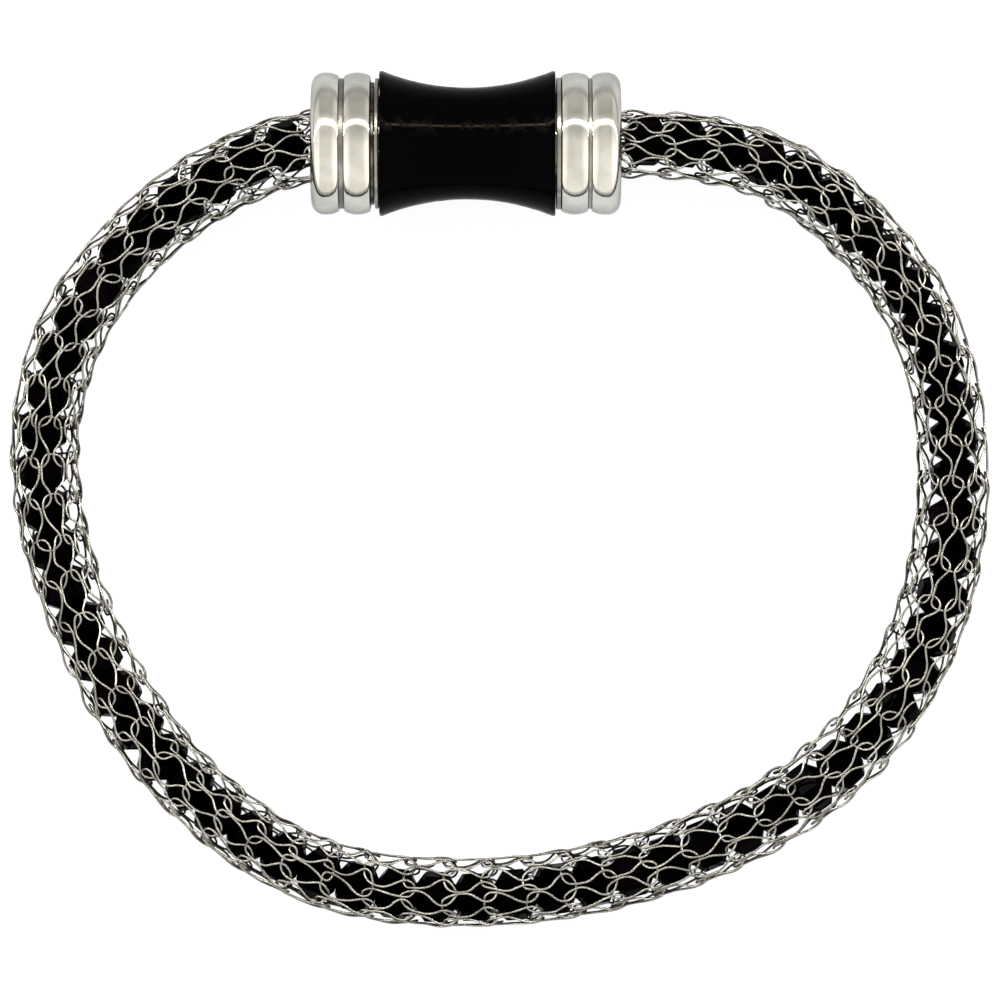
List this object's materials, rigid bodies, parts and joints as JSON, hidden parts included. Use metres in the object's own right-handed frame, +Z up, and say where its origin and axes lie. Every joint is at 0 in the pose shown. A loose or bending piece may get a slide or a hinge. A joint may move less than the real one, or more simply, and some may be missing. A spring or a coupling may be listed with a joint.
{
  "type": "mesh bracelet",
  "caption": "Round bracelet of open knitted wire tube with faceted dark beads inside, closed by a waisted barrel clasp between ringed metal caps.",
  "frame": {"origin": "middle of the base, on the surface that the bracelet lies on", "axes": "+X along the clasp, +Y from the middle of the wrist opening towards the clasp, +Z up"},
  "size_m": [0.0745, 0.0651, 0.011],
  "materials": {
    "steel_wire": "drawn stainless wire, knitted",
    "black_glass": "opaque black glass, cut facets",
    "thread": "plain cord",
    "polished_steel": "turned and polished stainless steel",
    "black_enamel": "gloss black",
    "post_steel": "plain"
  },
  "bodies": {
    "root": {"mesh_sleeve": "steel_wire", "bead_string": "black_glass", "bead_thread": "thread", "left_end_cap": "polished_steel", "right_end_cap": "polished_steel", "barrel_flange": "polished_steel", "clasp_barrel": "black_enamel", "clasp_post": "post_steel"}
  },
  "joints": []
}
